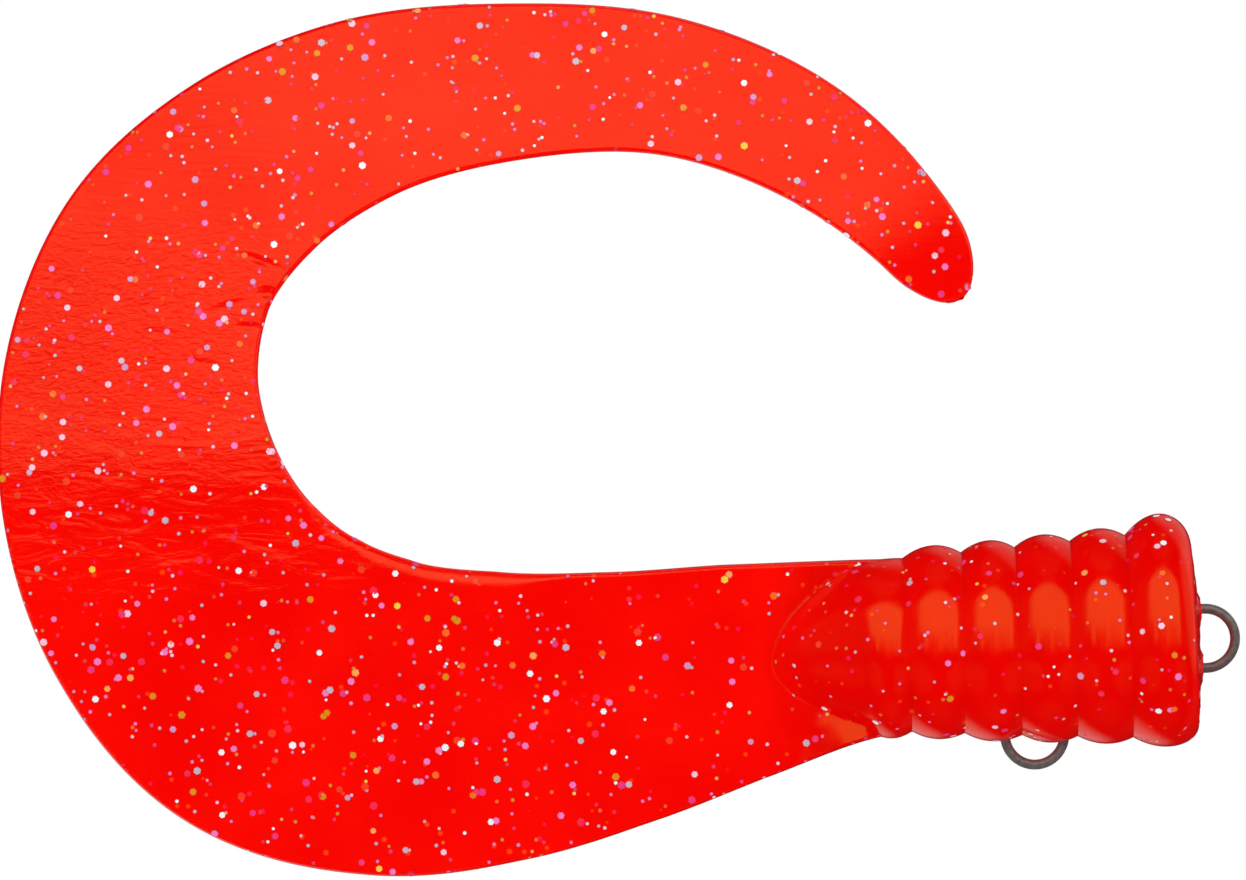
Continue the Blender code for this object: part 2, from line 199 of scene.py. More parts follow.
def leaned(points, along):
    """Points of the section at that distance along the spine, tilted and leaned as the tail is."""
    turn = min(1.0, max(0.0, (along - TILT_FROM) / (TILT_TO - TILT_FROM)))
    turn *= turn * (3 - 2 * turn)
    z = points[..., 2]
    above = z - LEAN_START
    lean = np.where(above > LEAN_BEND, above, np.maximum(0.0, above + LEAN_BEND) ** 2 / (4 * LEAN_BEND))
    moved = points.copy()
    moved[..., 1] += LEAN_SLOPE * lean + TILT_SLOPE * turn * (z - TILT_HEIGHT)
    return moved


def groove_height(along, ends):
    return ends[0] + (ends[1] - ends[0]) * (along - COLLAR_END) / (RIBS * RIB_PITCH)


def body_at(along):
    """Top, bottom and side half sizes of the round body. They are zero behind it."""
    if along < COLLAR_PEAK:
        rim = math.sqrt(max(0.0, 1 - ((COLLAR_PEAK - along) / COLLAR_PEAK) ** 2))
        full_side = BODY_SIDE * (COLLAR_TOP + COLLAR_BOTTOM) / 2
        return (
            FACE_TOP + (COLLAR_TOP - FACE_TOP) * rim,
            FACE_BOTTOM + (COLLAR_BOTTOM - FACE_BOTTOM) * rim,
            FACE_SIDE + (full_side - FACE_SIDE) * rim,
        )
    if along < COLLAR_END:
        fall = (along - COLLAR_PEAK) / (COLLAR_END - COLLAR_PEAK)
        top = COLLAR_TOP + (GROOVE_TOP[0] - COLLAR_TOP) * fall**2
        bottom = COLLAR_BOTTOM + (GROOVE_BOTTOM[0] - COLLAR_BOTTOM) * fall**2
    elif along < RIBS_END:
        roundness = 1 - (2 * ((along - COLLAR_END) / RIB_PITCH % 1.0) - 1) ** 2
        top = groove_height(along, GROOVE_TOP) + BULGE_TOP * roundness
        bottom = groove_height(along, GROOVE_BOTTOM) + BULGE_BOTTOM * roundness
    elif along < BULLET_START:
        roundness = 1 - (2 * (along - RIBS_END) / LAST_RIB - 1) ** 2
        top = groove_height(along, GROOVE_TOP)
        bottom = groove_height(along, GROOVE_BOTTOM) + BULGE_BOTTOM * roundness
        side = BODY_SIDE * ((top + bottom + BULGE_TOP * roundness) / 2)
        return top + LAST_BULGE_TOP * roundness, bottom, side
    else:
        narrowed = max(0.0, 1 - (along - BULLET_START) / BULLET) ** BULLET_POINT
        top = groove_height(BULLET_START, GROOVE_TOP) * narrowed
        bottom = groove_height(BULLET_START, GROOVE_BOTTOM) * narrowed
    return top, bottom, BODY_SIDE * (top + bottom) / 2


def tail_half_width(along):
    """Half the tail's width, closing to its rounded tip."""
    into_tip = max(0.0, (along - (LENGTH - TIP_ROUNDING)) / TIP_ROUNDING)
    return spine_at(along)[2] / 2 * math.sqrt(max(0.0, 1 - into_tip**2))


def body_side(heights, body):
    """Half the body's thickness at the heights."""
    top, bottom, side = body
    if top <= 0:
        return np.zeros_like(heights)
    widest = WIDEST * top
    share = (heights - widest) / np.where(heights > widest, top - widest, bottom + widest)
    return side * np.sqrt(np.maximum(0.0, 1 - share**2))


def from_tail_rim(along, heights):
    """Distance of the heights from the tail's outline, round its tip too."""
    full = spine_at(along)[2] / 2
    into_tip = (along - (LENGTH - TIP_ROUNDING)) / TIP_ROUNDING
    if into_tip <= 0:
        return full - np.abs(heights)
    reach = np.hypot(into_tip, heights / full)
    gradient = np.hypot(into_tip / TIP_ROUNDING, heights / full**2) / np.maximum(reach, 1e-6)
    return (1 - reach) / gradient


def tail_side(along, heights):
    """Half the tail's thickness at the heights, rounded off at its rim."""
    inner = INNER_ROUNDING - EDGE_ROUNDING
    inner *= smooth(along, INNER_START, INNER_FULL)
    inner *= smooth(along, INNER_END, INNER_FADE)
    rounding = np.where(heights > 0, EDGE_ROUNDING + inner, EDGE_ROUNDING)
    into = np.clip(1 - from_tail_rim(along, heights) / rounding, 0.0, 1.0)
    return spine_at(along)[3] / 2 * np.sqrt(1 - into**2)


def smooth(value, low, high):
    """0 to 1 as the value goes from low to high, smoothly."""
    share = min(1.0, max(0.0, (value - low) / (high - low)))
    return share * share * (3 - 2 * share)


def keel(along, heights):
    """How far the tail's lower edge swells where it leaves the body."""
    share = smooth(along, KEEL_START, KEEL_FULL) * smooth(along, KEEL_END, KEEL_FADE)
    below = KEEL_TOP - heights
    bent = np.where(below > KEEL_BEND, below, np.maximum(0.0, below + KEEL_BEND) ** 2 / (4 * KEEL_BEND))
    return share * KEEL_SLOPE * bent


def blended(a, b):
    """The larger of two, with a fillet where they are nearly equal."""
    close = np.maximum(0.0, FILLET - np.abs(a - b))
    return np.maximum(a, b) + np.where((a > 0) & (b > 0), close**2 / (4 * FILLET), 0.0)


def wave(points, along):
    """Gentle unevenness of the cast tail, across it, and the turn of its tip."""
    x, z = points[..., 0], points[..., 2]
    grown = min(1.0, max(0.0, (along - WAVE_START) / WAVE_GROWTH))
    grown *= min(1.0, (LENGTH - along) / WAVE_FADE)
    slow = np.sin(x / 9.3 + z / 14.0) * np.sin(z / 8.1 - x / 21.0 + 1.3)
    quick = np.sin(x / 3.9 - z / 5.2 + 0.7) * np.sin(z / 3.3 + x / 7.4)
    tip = TIP_TURN * max(0.0, 1 - (LENGTH - along) / TIP_TURN_LENGTH) ** 2
    return grown * (SLOW_WAVE * slow + QUICK_WAVE * quick) + tip


def ring(along):
    """Points round one section: up the left side from the lower rim, then down the right side."""
    body = body_at(along)
    half = tail_half_width(along) if along > TAIL_START else 0.0
    top, bottom = max(body[0], half), max(body[1], half)
    angles = np.linspace(-math.pi / 2, math.pi / 2, STEPS + 1)
    heights = (top - bottom) / 2 + (top + bottom) / 2 * np.sin(angles)
    sides = body_side(heights, body)
    if half > 0:
        flat = tail_side(along, heights)
        inside = np.abs(heights) < half
        swell = keel(along, heights) * flat / (spine_at(along)[3] / 2)
        sides = blended(sides, np.where(inside, flat + swell, 0.0))
    sides[0] = sides[-1] = 0.0
    centre, _, inner, left = frame_at(along)
    middle = centre + inner * heights[:, None]
    middle = middle + left * wave(middle, along)[:, None]
    left_row = middle + left * sides[:, None]
    right_row = middle - left * sides[:, None]
    return leaned(np.vstack([left_row, right_row[-2:0:-1]]), along)


def stations(start, end):
    """Distances along the spine for the rings of one piece, closer together on the nose rim and the tip."""
    marks = [start, end, COLLAR_PEAK, COLLAR_END, RIBS_END, BULLET_START, BULLET_START + BULLET]
    marks += [COLLAR_END + RIB_PITCH * k for k in range(RIBS)] + [LENGTH - TIP_ROUNDING]
    marks = sorted(m for m in set(marks) if start <= m <= end)
    found = []
    for a, b in zip(marks, marks[1:]):
        spacing = BODY_RING if a < BULLET_START + BULLET else TAIL_RING
        count = max(2, math.ceil((b - a) / spacing))
        share = np.arange(count) / count
        if a == 0.0:
            share = 1 - np.cos(share * math.pi / 2)
        elif a == LENGTH - TIP_ROUNDING:
            share = np.sin(share * math.pi / 2)
        found += list(a + (b - a) * share)
    return found + [end]


# ---------------------------------------------------------------- meshes


def make_mesh(name, points, faces, rounded=True):
    """An object from points in mm. Its rest attribute keeps their places for the textures."""
    data = bpy.data.meshes.new(name)
    data.from_pydata((points * MM).tolist(), [], faces)
    if rounded:
        data.shade_smooth()
        data.set_sharp_from_angle(angle=math.radians(40))
    rest = data.attributes.new("rest", "FLOAT_VECTOR", "POINT")
    rest.data.foreach_set("vector", points.astype(np.float32).ravel())
    obj = bpy.data.objects.new(name, data)
    bpy.context.scene.collection.objects.link(obj)
    return obj


def tube_faces(rings, count, first=0):
    """Quads between rings of count points each."""
    faces = []
    for row in range(rings - 1):
        a = first + row * count
        for k in range(count):
            n = (k + 1) % count
            faces.append((a + k, a + n, a + count + n, a + count + k))
    return faces


def cap_faces(first, count):
    """A flat cap over one ring of the skin, as strips from its left side to its right side."""
    half = count // 2
    left = [first + k for k in range(half + 1)]
    right = [first] + [first + count - k for k in range(1, half)] + [first + half]
    faces = [(left[0], left[1], right[1])]
    faces += [(left[k], left[k + 1], right[k + 1], right[k]) for k in range(1, half - 1)]
    return faces + [(left[half - 1], left[half], right[half - 1])]


def nose_face(edge):
    """Rings that close the flat nose: slightly domed, puckered where the wire goes in."""
    centre = edge.mean(axis=0)
    rings = []
    for k in range(1, FACE_RINGS + 1):
        share = 1 - k / FACE_RINGS
        rows = centre + (edge - centre) * share
        y, z = rows[:, 1], rows[:, 2]
        dome = FACE_DOME * (1 - share**2)
        wrinkle = FACE_WRINKLE * np.sin(y * 1.7 + 1.9 * np.sin(z * 0.6)) * np.sin(z * 1.1 + 0.8)
        wrinkle = wrinkle * (1 - share**4)
        for wire_z in (EYE_RADIUS, -EYE_RADIUS):
            away = np.hypot(y, z - wire_z)
            rise = PUCKER_RISE * np.exp(-((away - PUCKER_RADIUS) ** 2) / 0.5)
            wrinkle += rise - PUCKER_DIP * np.exp(-(away**2) / 0.8)
        rows[:, 0] += dome + wrinkle
        rings.append(rows)
    return rings


def outward(points, faces):
    """The faces, turned so that they point out of the closed shape."""
    triangles = np.array([f[:3] for f in faces] + [(f[0], f[2], f[3]) for f in faces if len(f) == 4])
    a, b, c = (points[triangles[:, k]] for k in range(3))
    volume = np.einsum("ij,ij->i", a, np.cross(b, c)).sum()
    return faces if volume > 0 else [f[::-1] for f in faces]


def skin_piece(name, start, end):
    """One piece of the soft skin, closed at both ends. Returns the object, its points and its outer quads."""
    rings = [ring(along) for along in stations(start, end)]
    count = 2 * STEPS
    if start == 0.0:
        rings = nose_face(rings[0])[-2::-1] + rings
    is_tip = end == LENGTH
    if is_tip:
        rings = rings[:-1]
    points = np.vstack(rings)
    faces = tube_faces(len(rings), count)
    outer = len(faces)
    if start == 0.0:
        points = np.vstack([points, rings[0].mean(axis=0)])
        faces += [((k + 1) % count, k, len(points) - 1) for k in range(count)]
    else:
        faces += [f[::-1] for f in cap_faces(0, count)]
    last = (len(rings) - 1) * count
    if is_tip:
        points = np.vstack([points, leaned(point_at(LENGTH), LENGTH)])
        faces += [(last + k, last + (k + 1) % count, len(points) - 1) for k in range(count)]
    else:
        faces += cap_faces(last, count)
    faces = outward(points, faces)
    return make_mesh(name, points, faces), points, np.array(faces[:outer])


# ---------------------------------------------------------------- node trees


class Nodes:
    """Adds nodes to a tree. An input is a value or another node's output."""

    def __init__(self, tree):
        self.tree = tree
        tree.nodes.clear()

    def add(self, kind, inputs=None, out=0, **settings):
        node = self.tree.nodes.new(kind)
        for name, value in settings.items():
            setattr(node, name, value)
        for key, value in (inputs or {}).items():
            if isinstance(value, bpy.types.NodeSocket):
                self.tree.links.new(value, node.inputs[key])
            else:
                node.inputs[key].default_value = value
        return node.outputs[out] if len(node.outputs) else node

    def math(self, operation, a, b=0.0, c=0.0):
        return self.add("ShaderNodeMath", {0: a, 1: b, 2: c}, operation=operation)

    def step(self, value, low, high):
        """0 to 1 as the value goes from low to high, smoothly."""
        return self.add("ShaderNodeMapRange", {0: value, 1: low, 2: high}, interpolation_type="SMOOTHSTEP")

    def product(self, *values):
        made = values[0]
        for value in values[1:]:
            made = self.math("MULTIPLY", made, value)
        return made

    def mix(self, share, a, b):
        return self.add("ShaderNodeMix", {0: share, 6: a, 7: b}, out=2, data_type="RGBA")

    def scaled(self, vector, scale):
        return self.add("ShaderNodeVectorMath", {0: vector, 1: scale}, operation="MULTIPLY")

    def noise(self, vector, scale, detail=2.0, distortion=0.0):
        inputs = {"Vector": vector, "Scale": scale, "Detail": detail, "Distortion": distortion}
        return self.add("ShaderNodeTexNoise", inputs)

    def split(self, vector):
        node = self.tree.nodes.new("ShaderNodeSeparateXYZ")
        self.tree.links.new(vector, node.inputs[0])
        return node.outputs[0], node.outputs[1], node.outputs[2]


def linear(red, green, blue):
    """A linear colour from 0 to 255 display values."""
    def one(value):
        share = value / 255
        return share / 12.92 if share <= 0.04045 else ((share + 0.055) / 1.055) ** 2.4
    return one(red), one(green), one(blue), 1.0


def new_material(name):
    made = bpy.data.materials.new(name)
    made.use_nodes = True
    return made, Nodes(made.node_tree)


def finish_material(nodes, inputs):
    """Ends a tree in a Principled shader with these inputs."""
    shader = nodes.add("ShaderNodeBsdfPrincipled", inputs)
    nodes.add("ShaderNodeOutputMaterial", {"Surface": shader})


def deep_flakes(nodes, rest, base):
    """Soft coloured spots: flakes that lie below the surface. Most cells of the pattern have none."""
    where = {"Vector": rest, "Scale": 0.60}
    distance = nodes.add("ShaderNodeTexVoronoi", where)
    red, green, blue = nodes.split(nodes.add("ShaderNodeTexVoronoi", where, out=1))
    size = nodes.math("ADD", nodes.math("MULTIPLY", green, 0.14), 0.12)
    spot = nodes.step(distance, size, nodes.math("MULTIPLY", size, 0.5))
    chosen = nodes.math("GREATER_THAN", blue, 0.48)
    colour = nodes.mix(nodes.step(red, 0.45, 0.55), linear(236, 40, 100), linear(255, 84, 18))
    return nodes.mix(nodes.product(spot, chosen, 0.52), base, colour)


# Small creases by the inner edge of the bend: x and z of the middle, turn in degrees, half length, half
# width and depth.
CREASES = (
    (-113.4, 45.3, 20, 3.2, 0.75, 0.26),
    (-112.6, 41.4, 5, 1.5, 1.1, 0.34),
    (-114.8, 37.4, 4, 2.2, 0.7, 0.20),
    (-125.3, 36.7, 4, 3.0, 0.7, 0.15),
    (-120.4, 33.0, 5, 3.2, 0.7, 0.15),
    (-117.5, 39.8, -18, 3.0, 0.8, 0.17),
)


def creased(nodes, rest, height):
    """The height of the skin's detail, with the creases pressed into it."""
    for x, z, turn, half_length, half_width, depth in CREASES:
        where = nodes.add("ShaderNodeMapping", {
            "Vector": rest,
            "Location": (x, 0.0, z),
            "Rotation": (0.0, math.radians(turn), 0.0),
            "Scale": (half_length, 1000.0, half_width),
        }, vector_type="TEXTURE")
        away = nodes.add("ShaderNodeVectorMath", {0: where}, out=1, operation="LENGTH")
        height = nodes.math("SUBTRACT", height, nodes.product(nodes.step(away, 1.0, 0.0), depth))
    return height


def skin_colour(nodes, rest, body):
    """Red, a little deeper on the body, with faint clouds, deep flakes and a few dark specks."""
    cloud = nodes.step(nodes.noise(rest, 0.07, 3.0), 0.35, 0.7)
    thin = nodes.mix(cloud, (0.86, 0.0009, 0.0003, 1), (0.93, 0.0022, 0.0006, 1))
    thick = nodes.mix(cloud, (0.75, 0.0005, 0.0002, 1), (0.79, 0.0010, 0.0003, 1))
    colour = deep_flakes(nodes, rest, nodes.mix(body, thin, thick))
    speck = nodes.step(nodes.add("ShaderNodeTexVoronoi", {"Vector": rest, "Scale": 0.30}), 0.030, 0.018)
    return nodes.mix(nodes.math("MULTIPLY", speck, 0.7), colour, (0.18, 0.003, 0.002, 1))


def skin_roughness(nodes, rest, body):
    """Smoother on the body than on the tail, with faint smudges."""
    smudge = nodes.step(nodes.noise(nodes.scaled(rest, (0.25, 0.25, 0.6)), 1.0, 4.0), 0.4, 0.7)
    tail_rough = nodes.math("ADD", nodes.math("MULTIPLY", smudge, 0.05), 0.15)
    body_rough = nodes.math("ADD", nodes.math("MULTIPLY", smudge, 0.03), 0.10)
    return nodes.add("ShaderNodeMix", {0: body, 2: tail_rough, 3: body_rough})


def skin_height(nodes, rest, x, z):
    """Height of the skin's fine detail in mm: its grain, streaks, wrinkles, patches and creases."""
    grain = nodes.noise(rest, 5.0, 2.0)
    streaks = nodes.noise(nodes.scaled(rest, (0.16, 0.5, 1.6)), 1.0, 3.0, 0.6)
    raised = nodes.step(z, 12.0, 22.0)
    outer = nodes.step(x, -106.0, -126.0)
    wrinkled = nodes.product(outer, raised, nodes.step(z, 56.0, 42.0))
    wrinkles = nodes.noise(nodes.scaled(rest, (0.8, 0.8, 1.7)), 1.0, 5.0, 0.8)
    patched = nodes.product(nodes.step(x, -92.0, -112.0), nodes.step(z, 2.0, 9.0), nodes.step(z, 30.0, 20.0))
    patches = nodes.noise(nodes.scaled(rest, (0.13, 0.3, 0.36)), 1.0, 5.0, 0.9)
    height = nodes.product(grain, 0.010)
    height = nodes.math("ADD", height, nodes.product(streaks, 0.030, raised))
    height = nodes.math("ADD", height, nodes.product(wrinkles, wrinkled, 0.20))
    height = nodes.math("ADD", height, nodes.product(patches, patched, 0.60))
    return creased(nodes, rest, height)


def soft_plastic():
    """Opaque red soft plastic: glossy and deeper red on the body, satin on the thin tail."""
    made, nodes = new_material("soft_plastic")
    rest = nodes.add("ShaderNodeAttribute", out=1, attribute_name="rest")
    x, _, z = nodes.split(rest)
    body = nodes.product(nodes.step(x, -54.0, -42.0), nodes.step(z, 26.0, 20.0))
    height = skin_height(nodes, rest, x, z)
    bump = nodes.add("ShaderNodeBump", {"Strength": 1.0, "Distance": MM, "Height": height})
    finish_material(nodes, {
        "Base Color": skin_colour(nodes, rest, body),
        "Roughness": skin_roughness(nodes, rest, body),
        "IOR": 1.5,
        "Specular Tint": nodes.mix(body, (1.0, 0.92, 0.34, 1.0), (1.0, 0.80, 0.14, 1.0)),
        "Normal": bump,
    })
    return made


def wire_steel():
    """Dark satin wire with fine lines along it from drawing."""
    made, nodes = new_material("wire_steel")
    rest = nodes.add("ShaderNodeAttribute", out=1, attribute_name="rest")
    lines = nodes.noise(nodes.scaled(rest, (0.6, 9.0, 0.6)), 1.0, 4.0)
    mottle = nodes.noise(rest, 1.4, 4.0)
    colour = nodes.mix(nodes.step(mottle, 0.3, 0.7), (0.15, 0.135, 0.125, 1), (0.22, 0.20, 0.19, 1))
    rough = nodes.math("ADD", nodes.math("MULTIPLY", lines, 0.16), 0.36)
    bump = nodes.add("ShaderNodeBump", {"Strength": 0.6, "Distance": 0.02 * MM, "Height": lines})
    finish_material(nodes, {"Base Color": colour, "Metallic": 0.55, "Roughness": rough, "Normal": bump})
    return made


def sleeve_brass():
    """Brass of the crimp sleeve, lightly tarnished."""
    made, nodes = new_material("sleeve_brass")
    where = nodes.add("ShaderNodeTexCoord", out=3)
    tarnish = nodes.noise(where, 900.0, 4.0)
    colour = nodes.mix(tarnish, (0.62, 0.40, 0.13, 1), (0.36, 0.22, 0.08, 1))
    rough = nodes.math("ADD", nodes.math("MULTIPLY", tarnish, 0.2), 0.25)
    finish_material(nodes, {"Base Color": colour, "Metallic": 1.0, "Roughness": rough})
    return made


# ---------------------------------------------------------------- glitter flakes

# Display colour, share of all flakes, and metallic value of each flake colour. The white and yellow colours
# are painted glints: flakes that catch the light, drawn in flat bright colour. The spread of light and dark
# tones is partly painted sparkle, and the hues are the flakes' own.
FLAKE_COLOURS = {
    "flake_white_glint": ((242, 240, 244), 0.10, 0.10),
    "flake_silver": ((206, 180, 196), 0.11, 0.20),
    "flake_blush": ((248, 190, 210), 0.11, 0.10),
    "flake_pink": ((242, 118, 186), 0.16, 0.05),
    "flake_mauve": ((212, 146, 190), 0.08, 0.10),
    "flake_magenta": ((238, 52, 122), 0.12, 0.05),
    "flake_rose": ((250, 36, 80), 0.08, 0.05),
    "flake_peach": ((255, 160, 80), 0.03, 0.10),
    "flake_orange": ((246, 104, 14), 0.06, 0.05),
    "flake_ember": ((250, 56, 16), 0.06, 0.05),
    "flake_gold": ((224, 142, 10), 0.07, 0.15),
    "flake_yellow_glint": ((244, 200, 60), 0.02, 0.10),
}
BODY_FLAKES, TAIL_FLAKES = 0.11, 0.20  # on a square mm of the first piece of skin, and of the others
FLAKE_SIZES = ((0.48, 0.32), (0.26, 0.68))  # radius and share of each size
FLAKE_VARIATION = (0.88, 1.1)  # least and most of a flake's radius over its size's
FLAKE_TOP, FLAKE_ROOT = 0.035, -0.12  # heights above the skin
RIM_COLUMNS = 3  # columns of quads by each rim that get no flakes
SEED = 7
FLAKE_BEVEL = 0.055
FLAKE_TILT = math.radians(3.5)


def flake_materials():
    """One material for each flake colour, and a darker one for the flakes' edges."""
    made = []
    for name, ((red, green, blue), _, metallic) in FLAKE_COLOURS.items():
        # The white and yellow flake colours are painted glints, not lit ones.
        material, nodes = new_material(name)
        inputs = {"Base Color": linear(red, green, blue), "Metallic": metallic, "Roughness": 0.35}
        finish_material(nodes, inputs)
        made.append(material)
    edge, nodes = new_material("flake_edge")
    finish_material(nodes, {"Base Color": linear(184, 50, 62), "Metallic": 0.1, "Roughness": 0.4})
    return [*made, edge]


def scatter(points, quads, density, random):
    """Places on the quads, evenly by area, with the directions of their normals."""
    a, b, c, d = (points[quads[:, k]] for k in range(4))
    cross = np.cross(c - a, d - b) / 2
    area = np.linalg.norm(cross, axis=1)
    normal = cross / np.maximum(area, 1e-9)[:, None]
    count = int(area.sum() * density)
    chosen = random.choice(len(quads), count, p=area / area.sum())
    u, v = random.random((2, count, 1))
    place = (1 - v) * ((1 - u) * a[chosen] + u * b[chosen]) + v * ((1 - u) * d[chosen] + u * c[chosen])
    return place, normal[chosen]


def flake_points(place, normal, radius, random):
    """The 18 points of one flake: its buried foot, its rim and its top, each a hexagon."""
    tilt = random.uniform(-FLAKE_TILT, FLAKE_TILT, 3)
    up = normal + np.cross(tilt, normal)
    up /= np.linalg.norm(up)
    side = np.cross(up, (0.3, 1.0, 0.2) if abs(up[1]) < 0.9 else (1.0, 0.2, 0.3))
    side /= np.linalg.norm(side)
    ahead = np.cross(up, side)
    turn = random.uniform(0, math.pi / 3) + np.arange(6) * math.pi / 3
    spokes = np.cos(turn)[:, None] * side + np.sin(turn)[:, None] * ahead
    levels = ((radius, FLAKE_ROOT), (radius, FLAKE_TOP * 0.4), (radius - FLAKE_BEVEL, FLAKE_TOP))
    return np.vstack([place + spokes * reach + up * height for reach, height in levels])


def flakes_on(name, points, quads, density, random):
    """All the flakes on one piece of skin, as one object."""
    places, normals = scatter(points, quads, density, random)
    radii, portions = zip(*FLAKE_SIZES)
    sizes = random.choice(radii, len(places), p=portions)
    shares = np.array([share for _, share, _ in FLAKE_COLOURS.values()])
    colours = random.choice(len(shares), len(places), p=shares / shares.sum())
    parts, faces, slots = [], [], []
    for k, (place, normal, size, colour) in enumerate(zip(places, normals, sizes, colours)):
        radius = size * random.uniform(*FLAKE_VARIATION)
        parts.append(flake_points(place, normal, radius, random))
        first = 18 * k
        faces.append(tuple(first + n for n in range(5, -1, -1)))
        faces.append(tuple(first + 12 + n for n in range(6)))
        slots += [colour, colour]
        for level in (0, 6):
            for n in range(6):
                a, b = first + level + n, first + level + (n + 1) % 6
                faces.append((a, b, b + 6, a + 6))
                slots.append(len(shares))
    obj = make_mesh(name, np.vstack(parts), faces, rounded=False)
    for material in FLAKE_MATERIALS:
        obj.data.materials.append(material)
    obj.data.polygons.foreach_set("material_index", slots)
    return obj


# ---------------------------------------------------------------- the soft body


def bend_reach(joint, forward):
    """How much of the tail can bend on each side of a flex line and leave both cut lines rigid."""
    hinge = np.array(joint["pos_m"]) / MM
    reach = LONGEST_BEND
    for cut in CUTS:
        away = np.abs((ring(cut) - hinge) @ forward)
        if np.linalg.norm(leaned(point_at(cut), cut) - hinge) < NEAR_CUT:
            reach = min(reach, BEND_MARGIN * away.min())
    return reach


def bend_over(obj, joint):
    """Works out how far the piece could bend on each side of its flex line, and bakes its place into its
    points.
    """
    hinge = np.array(joint["pos_m"])
    places = np.arange(20.0, LENGTH, 0.5)
    along = min(places, key=lambda s: np.linalg.norm(leaned(point_at(s), s) * MM - hinge))
    forward = leaned(point_at(along + 1), along + 1) - leaned(point_at(along - 1), along - 1)
    axis = np.array(joint["axis"])
    forward -= axis * (forward @ axis)
    forward /= np.linalg.norm(forward)
    reach = bend_reach(joint, forward) * MM
    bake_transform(obj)


def make_soft_body(joints):
    """The skin and its flakes, piece by piece along the spine."""
    random = np.random.default_rng(SEED)
    skin = soft_plastic()
    ends = (0.0, *CUTS, LENGTH)
    for (name, nodes), start, end, joint in zip(PIECES, ends, ends[1:], joints):
        piece, points, quads = skin_piece(name, start, end)
        piece.data.materials.append(skin)
        column = np.arange(len(quads)) % (2 * STEPS)
        off_rim = np.minimum(column % STEPS, STEPS - 1 - column % STEPS) >= RIM_COLUMNS
        density = BODY_FLAKES if start == 0.0 else TAIL_FLAKES
        flakes = flakes_on(name.replace("soft", "flakes"), points, quads[off_rim], density, random)
        for obj in (piece, flakes):
            bend_over(obj, joint)
        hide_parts(*nodes)


# ---------------------------------------------------------------- the harness

WIRE_RADIUS = 0.6
WIRE_SIDES = 28
EYE_RADIUS = 3.55
HANGER = (-20.5, -11.6)
WIRE_END = -34.2
END_SPACING = 1.0
SLEEVE_FRONT = -28.0


def arc(centre, start, end, count=72):
    """Points on an eye, from one angle to another, in degrees."""
    angles = np.radians(np.linspace(start, end, count))
    return [(centre[0] + EYE_RADIUS * math.cos(a), centre[1] + EYE_RADIUS * math.sin(a)) for a in angles]


def bend(*knots, count=40):
    """Points along a Bezier bend of the wire, without its two ends."""
    knots = np.array(knots, float)
    found = []
    for t in np.linspace(0, 1, count + 2)[1:-1]:
        weights = ((1 - t) ** 3, 3 * t * (1 - t) ** 2, 3 * t**2 * (1 - t), t**3)
        found.append(tuple(np.array(weights) @ knots))
    return found


def wire_path():
    """The wire's middle line in x and z, from the upper end, round both eyes, to the lower end."""
    hanger_x, hanger_z = HANGER
    front_leg, rear_leg = hanger_x + EYE_RADIUS, hanger_x - EYE_RADIUS
    path = [(WIRE_END, END_SPACING), (SLEEVE_FRONT, END_SPACING)]
    path += bend((SLEEVE_FRONT, END_SPACING), (-18, END_SPACING), (-12, EYE_RADIUS), (-2, EYE_RADIUS))
    path += arc((0, 0), 90, -90)
    path += bend((-1, -EYE_RADIUS), (-12, -EYE_RADIUS), (front_leg, -4), (front_leg, -10))
    path += arc(HANGER, 0, -180)
    path += bend((rear_leg, -10), (rear_leg, -3), (rear_leg - 1, -END_SPACING), (SLEEVE_FRONT, -END_SPACING))
    return np.array(path + [(SLEEVE_FRONT, -END_SPACING), (WIRE_END, -END_SPACING)])


def make_wire():
    """The harness wire, as a fine tube that stands for the CAD one."""
    path = wire_path()
    steps = np.gradient(path, axis=0)
    steps /= np.linalg.norm(steps, axis=1)[:, None]
    angles = np.arange(WIRE_SIDES) * 2 * math.pi / WIRE_SIDES
    rings = []
    for (x, z), (dx, dz) in zip(path, steps):
        out = np.array([-dz, 0, dx])
        across = np.cos(angles)[:, None] * out + np.sin(angles)[:, None] * np.array([0, 1, 0])
        rings.append(np.array([x, 0, z]) + across * WIRE_RADIUS)
    points = np.vstack(rings)
    faces = tube_faces(len(rings), WIRE_SIDES)
    last = len(points) - WIRE_SIDES
    faces += [tuple(range(WIRE_SIDES - 1, -1, -1)), tuple(range(last, len(points)))]
    wire = make_mesh("harness_wire_fine", points, outward(points, faces))
    wire.data.materials.append(wire_steel())
    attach(wire, "body")
    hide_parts("harness_wire")


def finish_sleeve(sleeve):
    """A better material on the CAD sleeve."""
    sleeve.data.materials.clear()
    sleeve.data.materials.append(sleeve_brass())


# ---------------------------------------------------------------- studio

# The soft lights all round: azimuth from the lens side, elevation, and strength. They light the diffuse
# colours alone, so that reflections show nothing but the window and the edge lights of make_world.
SOFT_LIGHTS = (
    (0, 20, 0.95), (-60, 20, 0.95), (60, 20, 0.95),
    (180, 20, 1.0), (-120, 20, 1.0), (120, 20, 1.0),
    (0, 90, 1.4),
    (-45, -30, 1.3), (45, -30, 1.3), (-135, -30, 1.3), (135, -30, 1.3),
    (0, -90, 0.6),
)
SOFT_LIGHT_ANGLE = 45.0

# The window light's edges, each as where it starts and where it is full: up, up and across.
WINDOW_BOTTOM, WINDOW_TOP = (0.01, 0.06), (0.53, 0.49)
WINDOW_LEFT, WINDOW_RIGHT = (-0.41, -0.28), (0.37, 0.34)
WINDOW_STRENGTH = 1.4
STREAK_LENGTH, STREAK_DIMNESS = 0.15, 0.45

